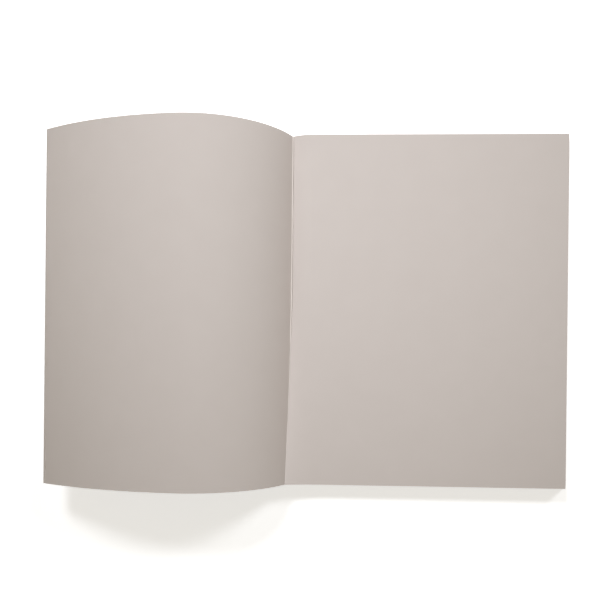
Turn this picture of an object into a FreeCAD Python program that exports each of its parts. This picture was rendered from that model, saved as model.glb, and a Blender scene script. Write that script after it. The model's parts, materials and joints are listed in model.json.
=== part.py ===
import FreeCAD, Part
import math
import os

# An open soft-bound book with blank pages. It lies on its back cover, opened near the front:
# most leaves lie flat at the right, and a few turned leaves and the front cover spring up
# in an arch at the left. +X runs to the right page's fore-edge, +Y to the head, +Z up.
# The outlines are drawn in a plane across the book, with x = 0 at the gutter and z = 0 on
# the table. Each piece runs the whole height of the page. All lengths are in millimetres.

# Leaves and cover card
page_width = 216.0
page_height = 276.0
leaf_thickness = 0.12
right_leaf_count = 100
left_leaf_count = 6
card_thickness = 0.3

# Right page at the gutter
gutter_dip = 4.0
gutter_roll = 17.0
glued_margin = 0.7
crease_width = 0.6
crease_depth = 0.4
crease_length = 165.0

# Left page: its slope where it leaves the gutter, then a tight bend and a slack one
foot_slope = math.radians(65.0)
tight_radius = 86.0
tight_length = 103.0
slack_radius = 250.0

# Gap that the front half folds over, above the bound edges
fold_gap = 0.3

# Heights above the table
block_thickness = right_leaf_count * leaf_thickness
turned_thickness = left_leaf_count * leaf_thickness
right_page = card_thickness + block_thickness
gutter = right_page - gutter_dip

# The glue is as thick as the turned leaves that stand on it, so the spine runs on
# in line into the front cover
glue_thickness = turned_thickness
spine_foot = (gutter - card_thickness) / math.tan(foot_slope)
back_fold = spine_foot - (glue_thickness + card_thickness) / math.sin(foot_slope)
fore_edge_foot = spine_foot + page_width


def point(x, z):
    """A point of an outline, at the tail of the book."""
    return FreeCAD.Vector(x, -page_height / 2, z)


def outward(slope):
    """Direction that the left page faces where it climbs at this slope towards -X."""
    return FreeCAD.Vector(math.sin(slope), 0, math.cos(slope))


def line(start, end):
    return Part.LineSegment(start, end).toShape()


def arc(start, middle, end):
    return Part.Arc(start, middle, end).toShape()


def full_height(edges):
    """The solid that a closed outline makes from the tail to the head of the book."""
    face = Part.Face(Part.Wire(edges))
    return face.extrude(FreeCAD.Vector(0, page_height, 0))


def polygon(corners):
    return [line(a, b) for a, b in zip(corners, corners[1:] + corners[:1])]


# Bends of the left page, seen as two arcs that run on into each other
fold = point(0, gutter + fold_gap)
tight_end_slope = foot_slope - tight_length / tight_radius
tight_centre = fold - outward(foot_slope) * tight_radius
slack_centre = tight_centre + outward(tight_end_slope) * (tight_radius - slack_radius)


def leaf_arcs(depth):
    """Start, middle and end of both arcs of a leaf that lies this deep under the left page.

    Every leaf is one page width long, so a deeper one, on tighter arcs, ends further round."""
    tight = tight_radius - depth
    slack = slack_radius - depth
    rest_of_leaf = page_width - tight * (foot_slope - tight_end_slope)
    end_slope = tight_end_slope - rest_of_leaf / slack
    tight_slopes = [foot_slope, (foot_slope + tight_end_slope) / 2, tight_end_slope]
    slack_slopes = [tight_end_slope, (tight_end_slope + end_slope) / 2, end_slope]
    return (
        [tight_centre + outward(slope) * tight for slope in tight_slopes],
        [slack_centre + outward(slope) * slack for slope in slack_slopes],
    )


def left_layer(top_depth, bottom_depth):
    """A layer of the left half between two depths under the left page."""
    top_tight, top_slack = leaf_arcs(top_depth)
    bottom_tight, bottom_slack = leaf_arcs(bottom_depth)
    return full_height([
        arc(*top_tight),
        arc(*top_slack),
        line(top_slack[2], bottom_slack[2]),
        arc(*reversed(bottom_slack)),
        arc(*reversed(bottom_tight)),
        line(bottom_tight[0], top_tight[0]),
    ])


def spine_layer(inner, outer):
    """A layer along the bound edges, between two distances from the right-hand leaves."""
    top = point(0, gutter)
    foot = point(spine_foot, card_thickness)
    along_table = FreeCAD.Vector(1 / math.sin(foot_slope), 0, 0)
    return full_height(polygon([
        foot - along_table * inner,
        top - outward(foot_slope) * inner,
        top - outward(foot_slope) * outer,
        foot - along_table * outer,
    ]))


def page_block():
    """Right-hand leaves: flat, rolling down to the glued margin at the gutter."""
    roll_start = glued_margin + crease_width
    roll_width = gutter_roll - roll_start
    roll_radius = (roll_width**2 + gutter_dip**2) / (2 * gutter_dip)
    roll_turn = math.asin(roll_width / roll_radius)
    roll_middle = point(
        gutter_roll - roll_radius * math.sin(roll_turn / 2),
        right_page - roll_radius * (1 - math.cos(roll_turn / 2)),
    )
    fore_edge_top = page_width - (roll_radius * roll_turn - roll_width)
    leaves = full_height([
        line(point(spine_foot, card_thickness), point(fore_edge_foot, card_thickness)),
        line(point(fore_edge_foot, card_thickness), point(fore_edge_top, right_page)),
        line(point(fore_edge_top, right_page), point(gutter_roll, right_page)),
        arc(point(gutter_roll, right_page), roll_middle, point(roll_start, gutter)),
        line(point(roll_start, gutter), point(0, gutter)),
        line(point(0, gutter), point(spine_foot, card_thickness)),
    ])
    return leaves.cut(crease(roll_start))


def crease(roll_start):
    """Groove that the first leaf is bent in beside its glued margin, from the head down."""
    outline = Part.Face(Part.Wire(polygon([
        point(glued_margin, gutter),
        point(glued_margin + crease_width / 2, gutter - crease_depth),
        point(roll_start, gutter),
        point(roll_start, right_page),
        point(glued_margin, right_page),
    ])))
    groove = outline.extrude(FreeCAD.Vector(0, crease_length, 0))
    groove.translate(FreeCAD.Vector(0, page_height - crease_length, 0))
    return groove


def back_cover():
    """Card that the book lies on, from its fold at the spine to the fore-edge."""
    return full_height(polygon([
        point(back_fold, 0),
        point(fore_edge_foot, 0),
        point(fore_edge_foot, card_thickness),
        point(back_fold, card_thickness),
    ]))


pieces = {
    "page_block": page_block(),
    "turned_pages": left_layer(0, turned_thickness),
    "front_cover": left_layer(turned_thickness, turned_thickness + card_thickness),
    "cover_spine": spine_layer(glue_thickness, glue_thickness + card_thickness),
    "spine_glue": spine_layer(0, glue_thickness),
    "back_cover": back_cover(),
}

# The origin is on the table, in the middle of the open book
cover_end = leaf_arcs(turned_thickness + card_thickness)[1][2]
to_middle = FreeCAD.Vector(-(cover_end.x + fore_edge_foot) / 2, 0, 0)

os.makedirs("parts", exist_ok=True)
for name, shape in pieces.items():
    shape.translate(to_middle)
    shape.exportStep(f"parts/{name}.step")

print("gutter fold at x", fold.x + to_middle.x, "z", fold.z)
print("back fold at x", back_fold + to_middle.x)
print("fore-edges at x", cover_end.x + to_middle.x, "and", fore_edge_foot + to_middle.x)
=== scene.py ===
import json
import math

import bpy
import numpy as np
from mathutils import Matrix, Vector


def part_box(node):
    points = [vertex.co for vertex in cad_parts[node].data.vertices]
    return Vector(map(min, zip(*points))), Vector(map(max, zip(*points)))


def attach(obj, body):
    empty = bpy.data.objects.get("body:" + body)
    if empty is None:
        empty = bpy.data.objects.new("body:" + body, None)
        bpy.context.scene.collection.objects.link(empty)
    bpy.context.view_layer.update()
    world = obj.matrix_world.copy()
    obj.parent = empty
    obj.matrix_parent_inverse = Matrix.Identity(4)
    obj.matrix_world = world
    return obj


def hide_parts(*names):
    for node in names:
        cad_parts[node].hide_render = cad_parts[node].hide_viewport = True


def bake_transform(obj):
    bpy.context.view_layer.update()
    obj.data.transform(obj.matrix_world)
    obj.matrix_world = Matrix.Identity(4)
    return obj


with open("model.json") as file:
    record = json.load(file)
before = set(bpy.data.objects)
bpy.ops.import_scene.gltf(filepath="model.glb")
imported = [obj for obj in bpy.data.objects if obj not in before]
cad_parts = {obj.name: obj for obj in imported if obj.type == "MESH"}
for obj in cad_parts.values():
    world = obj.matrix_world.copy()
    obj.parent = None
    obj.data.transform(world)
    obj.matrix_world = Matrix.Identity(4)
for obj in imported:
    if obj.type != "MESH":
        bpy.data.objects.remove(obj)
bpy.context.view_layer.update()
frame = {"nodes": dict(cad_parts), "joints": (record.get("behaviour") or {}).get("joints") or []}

# Sizes of the open book, in metres and radians

page_width = 0.216
leaf_pitch = 0.00012
leaf_thickness = 0.0001
right_leaf_count = 100
left_leaf_count = 6

gutter_dip = 0.004
gutter_roll = 0.017
glued_margin = 0.0007
crease_width = 0.0006
crease_length = 0.165

foot_slope = math.radians(65)
tight_radius = 0.086
tight_length = 0.103
slack_radius = 0.250

# Places that the frame gives

joints = {joint["name"]: joint for joint in frame["joints"]}
fold = Vector(joints["front_cover_hinge"]["pos_m"])
block_low, block_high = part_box("page_block")
card_low, card_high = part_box("back_cover")
page_height = block_high.y - block_low.y
card_thickness = card_high.z - card_low.z
right_page = block_high.z
gutter_height = right_page - gutter_dip
spine_foot = card_high.x - page_width
turned_thickness = left_leaf_count * leaf_pitch

BOOK, FRONT, BACK = "book_block", "front_half", "back_cover"


class Amount:
    """A number inside a node tree, so that a formula made of nodes reads as plain arithmetic."""

    def __init__(self, tree, socket):
        self.tree = tree
        self.socket = socket

    def work_out(self, operation, *others):
        node = self.tree.nodes.new("ShaderNodeMath")
        node.operation = operation
        for entry, term in zip(node.inputs, (self, *others)):
            if isinstance(term, Amount):
                self.tree.links.new(term.socket, entry)
            else:
                entry.default_value = term
        return Amount(self.tree, node.outputs[0])

    def __add__(self, other):
        return self.work_out("ADD", other)

    def __sub__(self, other):
        return self.work_out("SUBTRACT", other)

    def __mul__(self, other):
        return self.work_out("MULTIPLY", other)

    def __truediv__(self, other):
        return self.work_out("DIVIDE", other)

    def __neg__(self):
        return self.work_out("MULTIPLY", -1.0)

    def __pow__(self, other):
        return self.work_out("POWER", other)

    def __abs__(self):
        return self.work_out("ABSOLUTE")

    def at_most(self, other):
        return self.work_out("MINIMUM", other)

    def at_least(self, other):
        return self.work_out("MAXIMUM", other)

    def above(self, other):
        return self.work_out("GREATER_THAN", other)

    def whole(self):
        return self.work_out("FLOOR")

    def sine(self):
        return self.work_out("SINE")

    def cosine(self):
        return self.work_out("COSINE")

    def share(self):
        """The amount, held between 0 and 1."""
        return self.at_least(0.0).at_most(1.0)


def between(low, high, share):
    return low + (high - low) * share


# Leaves, piled up by geometry nodes

# Leaves slip and differ in tone partly each by itself and partly in bunches. The bunches
# draw at random with seeds that lie this far on from the leaves' own.
own_share = 0.4
bunch_share = 0.6
bunch_seeds_on = 10


class LeafPile:
    """A node tree that piles up thin leaves and puts every point of them in its place.

    Each point knows how far it is across the page (0 at the gutter, 1 at the fore-edge), how
    far up it, and the rank of its leaf: near 0 for the lowest of the pile, near 1 for the
    highest."""

    def __init__(self, name, sizes):
        self.tree = bpy.data.node_groups.new(name, "GeometryNodeTree")
        face = self.tree.interface
        kinds = {int: "NodeSocketInt", float: "NodeSocketFloat"}
        for size, value in sizes.items():
            entry = face.new_socket(size, in_out="INPUT", socket_type=kinds[type(value)])
            entry.default_value = value
        face.new_socket("Paper", in_out="INPUT", socket_type="NodeSocketMaterial")
        face.new_socket("Geometry", in_out="OUTPUT", socket_type="NodeSocketGeometry")
        self.entries = self.node("NodeGroupInput")
        self.lay_out_leaves()

    def node(self, kind, **settings):
        made = self.tree.nodes.new(kind)
        for name, value in settings.items():
            setattr(made, name, value)
        return made

    def size(self, name):
        return Amount(self.tree, self.entries.outputs[name])

    def join(self, start, end):
        self.tree.links.new(start.socket if isinstance(start, Amount) else start, end)

    def keep(self, geometry, name, value):
        """Writes a value on every point of the geometry, to be read by name later."""
        store = self.node("GeometryNodeStoreNamedAttribute", data_type="FLOAT", domain="POINT")
        store.inputs["Name"].default_value = name
        self.join(geometry, store.inputs["Geometry"])
        self.join(value, store.inputs["Value"])
        return store.outputs["Geometry"]

    def kept(self, name):
        read = self.node("GeometryNodeInputNamedAttribute", data_type="FLOAT")
        read.inputs["Name"].default_value = name
        return Amount(self.tree, read.outputs["Attribute"])

    def chance(self, number, shift):
        """A random amount between -1 and 1 for each number."""
        draw = self.node("FunctionNodeRandomValue", data_type="FLOAT")
        low, high = [s for s in draw.inputs if s.enabled and s.name in ("Min", "Max")]
        low.default_value = -1.0
        high.default_value = 1.0
        self.join(number, draw.inputs["ID"])
        self.join(self.size("Seed") + shift, draw.inputs["Seed"])
        return Amount(self.tree, [s for s in draw.outputs if s.enabled][0])

    def lay_out_leaves(self):
        """One leaf as a block that spans -0.5 to 0.5 each way, copied for every number."""
        leaf = self.node("GeometryNodeMeshCube")
        leaf.inputs["Size"].default_value = (1, 1, 1)
        self.join(self.size("Steps across"), leaf.inputs["Vertices X"])
        self.join(self.size("Steps up"), leaf.inputs["Vertices Y"])
        leaf.inputs["Vertices Z"].default_value = 2
        places = self.node("GeometryNodeMeshLine")
        self.join(self.size("Leaves"), places.inputs["Count"])
        places.inputs["Offset"].default_value = (0, 0, 0)
        index = Amount(self.tree, self.node("GeometryNodeInputIndex").outputs["Index"])
        number = index + self.size("First leaf")
        bunch = (number / self.size("Leaves in bunch")).whole()
        rank = (number + 0.5) / self.size("Leaves in pile")
        geometry = self.keep(places.outputs["Mesh"], "rank", rank)
        for shift, name in enumerate(("fore_slip", "head_slip", "tone")):
            own = self.chance(number, shift) * own_share
            shared = self.chance(bunch, shift + bunch_seeds_on) * bunch_share
            geometry = self.keep(geometry, name, (own + shared) * self.size("Unevenness"))
        copies = self.node("GeometryNodeInstanceOnPoints")
        self.join(geometry, copies.inputs["Points"])
        self.join(leaf.outputs["Mesh"], copies.inputs["Instance"])
        real = self.node("GeometryNodeRealizeInstances")
        self.join(copies.outputs["Instances"], real.inputs["Geometry"])
        self.leaves = real.outputs["Geometry"]
        corner = self.node("ShaderNodeSeparateXYZ")
        self.join(self.node("GeometryNodeInputPosition").outputs[0], corner.inputs[0])
        across, up, side = (Amount(self.tree, socket) for socket in corner.outputs)
        self.across = (across + 0.5) ** self.size("Crowding at gutter")
        self.from_head = (-up + 0.5) * self.size("Page height")
        self.side = side * self.size("Leaf thickness")
        self.rank = self.kept("rank")
        slip = self.size("Edge slip")
        self.fore_slip = self.kept("fore_slip") * slip * self.across
        self.y = up * self.size("Page height") + self.kept("head_slip") * slip

    def place(self, x, z):
        """Moves the leaves' points to their places and ends the tree."""
        place = self.node("ShaderNodeCombineXYZ")
        for entry, amount in zip(place.inputs, (x, self.y, z)):
            self.join(amount, entry)
        move = self.node("GeometryNodeSetPosition")
        self.join(self.leaves, move.inputs["Geometry"])
        self.join(place.outputs[0], move.inputs["Position"])
        paper = self.node("GeometryNodeSetMaterial")
        self.join(move.outputs["Geometry"], paper.inputs["Geometry"])
        self.join(self.entries.outputs["Paper"], paper.inputs["Material"])
        self.join(paper.outputs["Geometry"], self.node("NodeGroupOutput").inputs[0])
        return self.tree


def right_leaves_tree(sizes):
    """Leaves that lie flat and roll down to their glued edges at the gutter.

    Towards the tail the uppermost leaves are still stuck to the foot of the turned ones, and
    their margins climb up its slope. Above that the first leaf is creased along its margin."""
    pile = LeafPile("right_leaves", sizes)
    rank, size, from_head = pile.rank, pile.size, pile.from_head
    run = size("Page width") - size("Roll shortening") * rank
    from_edge = pile.across * run

    stuck = (from_head - size("Stuck from")) / (size("Page height") - size("Stuck from"))
    stuck = stuck.share()
    climb = stuck ** size("Climb bend") * size("Climb at tail") * rank ** size("Climb fade")

    margin = size("Glued margin") + size("Crease width")
    roll_end = size("Gutter roll") + stuck * size("Longer roll")
    parabola = 2.0
    rolled = ((roll_end - from_edge) / (roll_end - margin * rank)).share() ** parabola
    fall = rolled * (size("Gutter dip") * rank - climb)

    half_crease = size("Crease width") * 0.5
    from_crease = abs(from_edge - size("Glued margin") - half_crease)
    creased = ((size("Crease length") - from_head) / size("Crease fade")).share()
    groove = (-(from_crease / half_crease) + 1.0).share() * creased * size("Crease depth")

    bound_edge = between(size("Spine foot"), size("Gutter"), rank)
    slid = climb * rolled / size("Foot steepness")
    flat = size("Cover thickness") + size("Pile thickness") * rank
    # The glued margin beside the crease is marked here and coloured paler by the paper: a painted
    # highlight along that strip.
    painted_margin_highlight = creased * (-(from_edge / size("Glued margin")) + 1.0).above(0.0)
    pile.leaves = pile.keep(pile.leaves, "painted_margin_highlight", painted_margin_highlight)
    return pile.place(
        bound_edge + from_edge - slid + pile.fore_slip,
        flat - fall - groove * rank ** size("Crease fade below") + pile.side,
    )


def turned_leaves_tree(sizes):
    """Leaves that spring up from the gutter in one tight bend and one slack bend."""
    pile = LeafPile("turned_leaves", sizes)
    size = pile.size
    depth = (-pile.rank + 1.0) * size("Pile thickness") - pile.side
    along = pile.across * size("Page width") + pile.fore_slip
    first_slope = size("Foot slope")
    tight, slack = size("Tight radius"), size("Slack radius")
    joined_slope = first_slope - size("Tight length") / tight
    tight_run = (first_slope - joined_slope) * (tight - depth)
    past = along.above(tight_run)
    on_tight = first_slope - along / (tight - depth)
    on_slack = joined_slope - (along - tight_run) / (slack - depth)
    slope = between(on_tight, on_slack, past)
    radius = between(tight, slack, past)
    centre_x = size("Gutter") - first_slope.sine() * tight + joined_slope.sine() * (tight - radius)
    centre_z = (
        size("Fold height") - first_slope.cosine() * tight
        + joined_slope.cosine() * (tight - radius)
    )
    return pile.place(
        centre_x + slope.sine() * (radius - depth),
        centre_z + slope.cosine() * (radius - depth),
    )


def made_by(tree, name, paper, **sizes):
    """The plain mesh object that a leaf tree makes with these sizes."""
    piece = bpy.data.objects.new(name, bpy.data.meshes.new(name))
    bpy.context.scene.collection.objects.link(piece)
    nodes = piece.modifiers.new("leaves", "NODES")
    nodes.node_group = tree
    entries = {
        item.name: item.identifier
        for item in tree.interface.items_tree
        if item.in_out == "INPUT"
    }
    for size, value in sizes.items():
        nodes[entries[size.replace("_", " ")]] = value
    nodes[entries["Paper"]] = paper
    bpy.context.view_layer.update()
    evaluated = piece.evaluated_get(bpy.context.evaluated_depsgraph_get())
    mesh = bpy.data.meshes.new_from_object(evaluated)
    piece.modifiers.remove(nodes)
    piece.data = mesh
    mesh.name = name
    return smooth(piece)


crisp_angle = math.radians(35)


def smooth(piece):
    """Smooth shading on the faces, with the cut edges left crisp."""
    mesh = piece.data
    mesh.polygons.foreach_set("use_smooth", [True] * len(mesh.polygons))
    mesh.set_sharp_from_angle(angle=crisp_angle)
    return piece


# Cover card, drawn as a path of points (x, z) along its inner face

shortest_step = 1e-7


def outward(slope):
    """Direction that a leaf faces where it climbs at this slope towards -X."""
    return np.stack([np.sin(slope), np.cos(slope)], axis=-1)


fold_point = np.array([fold.x, fold.z])
joined_slope = foot_slope - tight_length / tight_radius
tight_centre = fold_point - outward(foot_slope) * tight_radius
slack_centre = tight_centre + outward(joined_slope) * (tight_radius - slack_radius)


def turned_path(depth, run):
    """Path of the turned leaves at this depth, at these lengths from the fold."""
    tight_run = (foot_slope - joined_slope) * (tight_radius - depth)
    on_tight = (run < tight_run)[:, None]
    slope = np.where(
        run < tight_run,
        foot_slope - run / (tight_radius - depth),
        joined_slope - (run - tight_run) / (slack_radius - depth),
    )
    centre = np.where(on_tight, tight_centre, slack_centre)
    radius = np.where(on_tight, tight_radius, slack_radius) - depth
    return centre + outward(slope) * radius


def line_path(start, end, count):
    return np.linspace(start, end, count)


def curve_path(start, corner, end, count):
    """A curve that leaves the start towards the corner and reaches the end from it."""
    t = np.linspace(0, 1, count)[:, None]
    return (1 - t) ** 2 * start + 2 * t * (1 - t) * corner + t**2 * end


def steps_of(path):
    """The distance from each point of a path to the next."""
    return np.linalg.norm(np.diff(path, axis=0), axis=1)


def card_piece(name, path, score_place, material):
    """Card with its inner face along a path from left to right, and a scored line outside.

    The scored line is given by its length along the path."""
    path = np.concatenate([path[:1], path[1:][steps_of(path) > shortest_step]])
    along = np.concatenate([[0], np.cumsum(steps_of(path))])
    heading = np.gradient(path, axis=0)
    inward = np.stack([-heading[:, 1], heading[:, 0]], axis=1)
    inward /= np.linalg.norm(inward, axis=1, keepdims=True)
    score = np.clip(1 - abs(along - score_place) / score_half_width, 0, 1)
    outer = path - inward * (card_thickness - score_depth * score)[:, None]
    ring = [(x, z) for x, z in path] + [(x, z) for x, z in outer]
    tail, head = -page_height / 2, page_height / 2
    points = [(x, tail, z) for x, z in ring] + [(x, head, z) for x, z in ring]
    count, far = len(path), len(ring)
    inner_end, outer_end = count - 1, far - 1
    faces = [
        (0, far, far + count, count),
        (inner_end, outer_end, far + outer_end, far + inner_end),
    ]
    for inner_a in range(inner_end):
        inner_b = inner_a + 1
        outer_a, outer_b = count + inner_a, count + inner_b
        faces.append((inner_a, inner_b, far + inner_b, far + inner_a))
        faces.append((outer_b, outer_a, far + outer_a, far + outer_b))
        faces.append((outer_a, outer_b, inner_b, inner_a))
        faces.append((far + outer_b, far + outer_a, far + inner_a, far + inner_b))
    mesh = bpy.data.meshes.new(name)
    mesh.from_pydata(points, [], faces)
    mesh.materials.append(material)
    piece = bpy.data.objects.new(name, mesh)
    bpy.context.scene.collection.objects.link(piece)
    return smooth(piece)


# Paper, card and glue

def colour_between(tree, share, low, high):
    """A colour between two, each a plain colour or a socket."""
    node = tree.nodes.new("ShaderNodeMix")
    node.data_type = "RGBA"
    tree.links.new(share, node.inputs["Factor"])
    for name, colour in (("A", low), ("B", high)):
        entry = [s for s in node.inputs if s.enabled and s.name == name][0]
        if isinstance(colour, tuple):
            entry.default_value = (*colour, 1)
        else:
            tree.links.new(colour, entry)
    return [s for s in node.outputs if s.enabled][0]


class Material:
    """A material with its main shader and short names for what is set on it."""

    def __init__(self, name, roughness, specular):
        self.data = bpy.data.materials.new(name)
        self.data.use_nodes = True
        self.tree = self.data.node_tree
        self.surface = self.tree.nodes["Principled BSDF"]
        self.surface.inputs["Roughness"].default_value = roughness
        self.surface.inputs["Specular IOR Level"].default_value = specular

    def cloud(self, scale, detail=3.0, stretch=(1, 1, 1)):
        """Soft mottling, with its scale in cycles per metre."""
        place = self.tree.nodes.new("ShaderNodeTexCoord").outputs["Object"]
        mapping = self.tree.nodes.new("ShaderNodeMapping")
        mapping.inputs["Scale"].default_value = stretch
        self.tree.links.new(place, mapping.inputs["Vector"])
        noise = self.tree.nodes.new("ShaderNodeTexNoise")
        noise.inputs["Scale"].default_value = scale
        noise.inputs["Detail"].default_value = detail
        self.tree.links.new(mapping.outputs["Vector"], noise.inputs["Vector"])
        return noise.outputs["Fac"]

    def attribute(self, name, times=1.0):
        """A value kept on the piece's points, held between 0 and 1."""
        node = self.tree.nodes.new("ShaderNodeAttribute")
        node.attribute_name = name
        return (Amount(self.tree, node.outputs["Fac"]) * times).share().socket

    def mix(self, share, low, high):
        return colour_between(self.tree, share, low, high)

    def colour(self, socket):
        self.tree.links.new(socket, self.surface.inputs["Base Color"])

    def raise_surface(self, height, distance):
        bump = self.tree.nodes.new("ShaderNodeBump")
        bump.inputs["Distance"].default_value = distance
        self.tree.links.new(height, bump.inputs["Height"])
        self.tree.links.new(bump.outputs["Normal"], self.surface.inputs["Normal"])


def page_paper():
    """Smooth uncoated book paper: a warm grey white, painted paler along the glued margin beside
    the crease as a painted highlight where that strip catches the light.

    Leaves differ a little in tone, which shows as fine streaks along the trimmed edges."""
    dense, thin = (0.612, 0.555, 0.522), (0.634, 0.577, 0.544)
    pale_leaf, dark_leaf = (0.665, 0.61, 0.575), (0.50, 0.445, 0.405)
    # Painted highlight: the pale colour given to the glued margin beside the crease.
    margin_highlight_colour = (0.87, 0.81, 0.765)
    paper = Material("page_paper", roughness=0.8, specular=0.3)
    plain = paper.mix(paper.cloud(scale=55), dense, thin)
    paler = paper.mix(paper.attribute("tone"), plain, pale_leaf)
    toned = paper.mix(paper.attribute("tone", times=-1.0), paler, dark_leaf)
    paper.colour(paper.mix(paper.attribute("painted_margin_highlight"), toned, margin_highlight_colour))
    fibres = paper.cloud(scale=2600, detail=4, stretch=(1, 0.45, 1))
    paper.raise_surface(fibres, distance=0.000008)
    return paper.data


def cover_card():
    """Matt cover card, a little cooler than the pages, with a fine tooth."""
    darker, lighter = (0.625, 0.580, 0.550), (0.655, 0.610, 0.580)
    card = Material("cover_card", roughness=0.6, specular=0.4)
    card.colour(card.mix(card.cloud(scale=80), darker, lighter))
    card.raise_surface(card.cloud(scale=1800, detail=4), distance=0.000015)
    return card.data


def binding_glue():
    """Cold set glue: pale, slightly glossy, with brushed streaks along the spine."""
    thick, thin = (0.60, 0.54, 0.44), (0.70, 0.64, 0.54)
    glue = Material("binding_glue", roughness=0.45, specular=0.5)
    streaks = glue.cloud(scale=900, detail=3, stretch=(1, 0.05, 1))
    glue.colour(glue.mix(streaks, thick, thin))
    glue.raise_surface(streaks, distance=0.00005)
    return glue.data


paper = page_paper()
card = cover_card()
glue = binding_glue()

# Right-hand leaves

stuck_from = 0.114
climb_at_tail = 0.007

roll_width = gutter_roll - glued_margin - crease_width
roll_radius = (roll_width**2 + gutter_dip**2) / (2 * gutter_dip)

pile_sizes = {
    "Leaves": 1,
    "First leaf": 0,
    "Leaves in pile": right_leaf_count,
    "Steps across": 28,
    "Steps up": 2,
    "Crowding at gutter": 1.8,
    "Leaf thickness": leaf_thickness,
    "Page width": page_width,
    "Page height": page_height,
    "Edge slip": 0.00012,
    "Leaves in bunch": 5,
    "Unevenness": 1.0,
    "Seed": 4,
}

right_tree = right_leaves_tree({
    **pile_sizes,
    "Pile thickness": right_page - card_thickness,
    "Cover thickness": card_thickness,
    "Spine foot": spine_foot,
    "Gutter": fold.x,
    "Gutter dip": gutter_dip,
    "Gutter roll": gutter_roll,
    "Roll shortening": roll_radius * math.asin(roll_width / roll_radius) - roll_width,
    "Glued margin": glued_margin,
    "Crease width": crease_width,
    "Crease depth": 0.0011,
    "Crease length": crease_length,
    "Crease fade": 0.012,
    "Crease fade below": 12.0,
    "Stuck from": stuck_from,
    "Climb at tail": climb_at_tail,
    "Climb bend": 1.8,
    "Climb fade": 60.0,
    "Longer roll": 0.008,
    "Foot steepness": math.tan(foot_slope),
})

# The uppermost leaves are stepped finely, since their margins climb towards the tail. The
# leaves under the first are creased deeper than it is, which keeps them clear of it.
lifted_leaf_count = 11
lifted_from = right_leaf_count - 1 - lifted_leaf_count
right_leaves = made_by(right_tree, "right_leaves", paper, Leaves=lifted_from)
lifted_leaves = made_by(
    right_tree, "lifted_leaves", paper,
    Leaves=lifted_leaf_count, First_leaf=lifted_from,
    Steps_across=110, Steps_up=30, Crowding_at_gutter=3.0,
)
right_page_leaf = made_by(
    right_tree, "right_page", paper,
    First_leaf=right_leaf_count - 1, Steps_across=240, Steps_up=140, Crowding_at_gutter=3.0,
    Unevenness=0.0, Climb_fade=0.0, Crease_depth=0.00075,
)

# Turned leaves

turned_tree = turned_leaves_tree({
    **pile_sizes,
    "Pile thickness": turned_thickness,
    "Gutter": fold.x,
    "Fold height": fold.z,
    "Foot slope": foot_slope,
    "Tight radius": tight_radius,
    "Tight length": tight_length,
    "Slack radius": slack_radius,
})
turned_leaves = made_by(
    turned_tree, "turned_leaves", paper,
    Leaves=left_leaf_count, Leaves_in_pile=left_leaf_count,
    Steps_across=160, Crowding_at_gutter=1.0, Unevenness=0.2,
)

# Cover, with closer points where the card is scored or folded

score_from_fold = 0.006
score_half_width = 0.0004
score_depth = 0.00012
score_region = 2 * score_from_fold
fold_rounding = 0.0004

arch_points = 110
front_score_points = 90
rounding_points = 12
spine_points = 24
back_score_points = 80
flat_points = 20

down_spine = np.array([math.cos(foot_slope), -math.sin(foot_slope)])
leaf_foot = fold_point - outward(foot_slope) * turned_thickness
spine_top = leaf_foot - np.array([0.0, fold_point[1] - gutter_height])
spine_length = (spine_top[1] - card_thickness) / math.sin(foot_slope)
spine_middle = spine_top + down_spine * spine_length / 2
spine_end = spine_top + down_spine * spine_length
fore_edge = np.array([card_high.x, card_thickness])
to_right = np.array([1.0, 0.0])

past_top_fold = spine_top + down_spine * fold_rounding
before_back_fold = spine_end - down_spine * fold_rounding
past_back_fold = spine_end + to_right * fold_rounding
past_back_score = spine_end + to_right * score_region

front_path = np.concatenate([
    turned_path(turned_thickness, np.linspace(page_width, score_region, arch_points)),
    turned_path(turned_thickness, np.linspace(score_region, 0, front_score_points)),
    curve_path(leaf_foot, spine_top, past_top_fold, rounding_points),
    line_path(past_top_fold, spine_middle, spine_points),
])
back_path = np.concatenate([
    line_path(spine_middle, before_back_fold, spine_points),
    curve_path(before_back_fold, spine_end, past_back_fold, rounding_points),
    line_path(past_back_fold, past_back_score, back_score_points),
    line_path(past_back_score, fore_edge, flat_points),
])
front_card = card_piece("front_card", front_path, page_width - score_from_fold, card)
back_card = card_piece("back_card", back_path, spine_length / 2 + score_from_fold, card)

# Which parts of the plain model each piece stands in for, and the bodies that carry the right and
# the turned leaves


for piece in (right_leaves, lifted_leaves, right_page_leaf):
    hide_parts("page_block")
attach(right_leaves, BOOK)
for piece in (lifted_leaves, right_page_leaf):
    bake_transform(piece)

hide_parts("turned_pages")
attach(turned_leaves, FRONT)

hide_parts("front_cover", "cover_spine")
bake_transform(front_card)
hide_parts("back_cover")
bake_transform(back_card)

glue_mesh = frame["nodes"]["spine_glue"].data
glue_mesh.materials.clear()
glue_mesh.materials.append(glue)


# Table, light and camera

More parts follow.
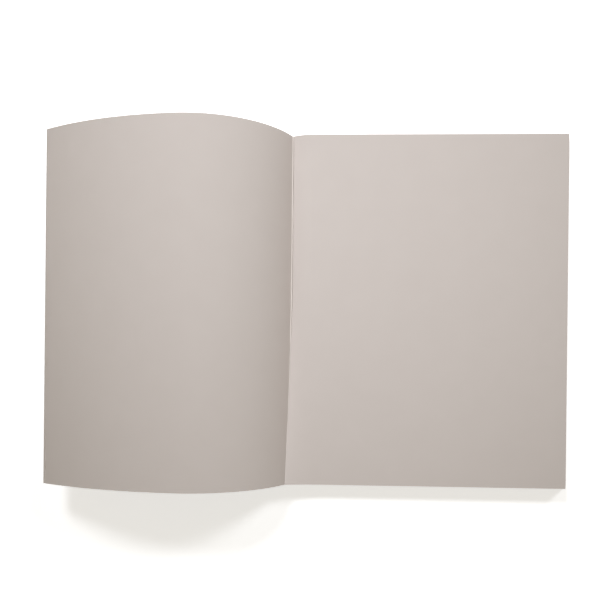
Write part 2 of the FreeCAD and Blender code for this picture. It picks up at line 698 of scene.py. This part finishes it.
def white_table():
    """A plain white table top that takes the book's soft shadow and runs on into the white room.

    A glow that only the eye sees grows with the distance from the book and ends in pure white.
    The top lies a card's thickness low, so that the back cover can be opened out flat on it."""
    half = 6.0
    clearance = 0.00005
    top = -card_thickness - clearance
    whiteness = 0.9
    glow_near, glow_far = 0.62, 1.0
    glow_start, glow_reach = 0.3, 0.6
    mesh = bpy.data.meshes.new("table_top")
    corners = [(-half, -half, top), (half, -half, top), (half, half, top), (-half, half, top)]
    mesh.from_pydata(corners, [], [(0, 1, 2, 3)])
    table = bpy.data.objects.new("table_top", mesh)
    bpy.context.scene.collection.objects.link(table)
    white = Material("table_white", roughness=1.0, specular=0.0)
    white.surface.inputs["Base Color"].default_value = (whiteness, whiteness, whiteness, 1)
    white.surface.inputs["Emission Color"].default_value = (1, 1, 1, 1)
    place = white.tree.nodes.new("ShaderNodeTexCoord").outputs["Object"]
    from_book = white.tree.nodes.new("ShaderNodeVectorMath")
    from_book.operation = "LENGTH"
    white.tree.links.new(place, from_book.inputs[0])
    distance = Amount(white.tree, from_book.outputs["Value"])
    far = ((distance - glow_start) / glow_reach).share()
    glow = seen_by_eye(white.tree) * (far * (glow_far - glow_near) + glow_near)
    white.tree.links.new(glow.socket, white.surface.inputs["Emission Strength"])
    mesh.materials.append(white.data)


def seen_by_eye(tree):
    """1 for what the camera sees, straight or in a sheen, and 0 for light on its way."""
    path = tree.nodes.new("ShaderNodeLightPath")
    straight, sheen, through = (
        Amount(tree, path.outputs[name])
        for name in ("Is Camera Ray", "Is Glossy Ray", "Is Transmission Ray")
    )
    return straight.at_least(sheen).at_least(through)


def pale_room(fill):
    """Even light from all around, at this strength, seen by the camera as plain white."""
    warm, white = (1.0, 0.87, 0.6), (1.0, 1.0, 1.0)
    world = bpy.data.worlds.new("pale_room")
    world.use_nodes = True
    tree = world.node_tree
    background = tree.nodes["Background"]
    eye = seen_by_eye(tree)
    tree.links.new(colour_between(tree, eye.socket, warm, white), background.inputs["Color"])
    strength = eye * (1.0 - fill) + fill
    tree.links.new(strength.socket, background.inputs["Strength"])
    bpy.context.scene.world = world


def soft_light(name, place, power):
    """A square soft lamp with a honeycomb grid, which keeps its light around the aim."""
    aim = (0, 0.05, 0)
    lamp = bpy.data.lights.new(name, "AREA")
    lamp.size = 0.5
    lamp.spread = math.radians(35)
    lamp.energy = power
    lamp.color = (0.92, 0.945, 1.0)
    holder = bpy.data.objects.new(name, lamp)
    holder.location = place
    holder.rotation_euler = (Vector(aim) - Vector(place)).to_track_quat("-Z", "Y").to_euler()
    bpy.context.scene.collection.objects.link(holder)


def photo_camera():
    """Looks straight down on the book, from a little over half a metre above the right page."""
    image_width, sensor = 600, 36.0
    focal_pixels = 654.7
    axis_row = 368.6
    from_gutter = Vector((0.0281, -0.0456, 0.5163))
    roll, yaw, pitch = (math.radians(angle) for angle in (-0.60, -2.23, 0.11))
    lens = bpy.data.cameras.new("photo_camera")
    lens.sensor_width = sensor
    lens.lens = focal_pixels * sensor / image_width
    lens.shift_y = (axis_row - image_width / 2) / image_width
    camera = bpy.data.objects.new("photo_camera", lens)
    turn = (
        Matrix.Rotation(roll, 4, "Z")
        @ Matrix.Rotation(yaw, 4, "Y")
        @ Matrix.Rotation(pitch, 4, "X")
    )
    place = Vector((fold.x, 0, right_page)) + from_gutter
    camera.matrix_world = Matrix.Translation(place) @ turn.transposed()
    bpy.context.scene.collection.objects.link(camera)
    bpy.context.scene.camera = camera


white_table()
pale_room(fill=0.2)
soft_light("head_left_lamp", place=(-0.5, 1.2, 1.1), power=1.15)
soft_light("head_right_lamp", place=(1.0, 1.2, 1.1), power=0.85)
photo_camera()
bpy.context.scene.view_settings.view_transform = "Standard"
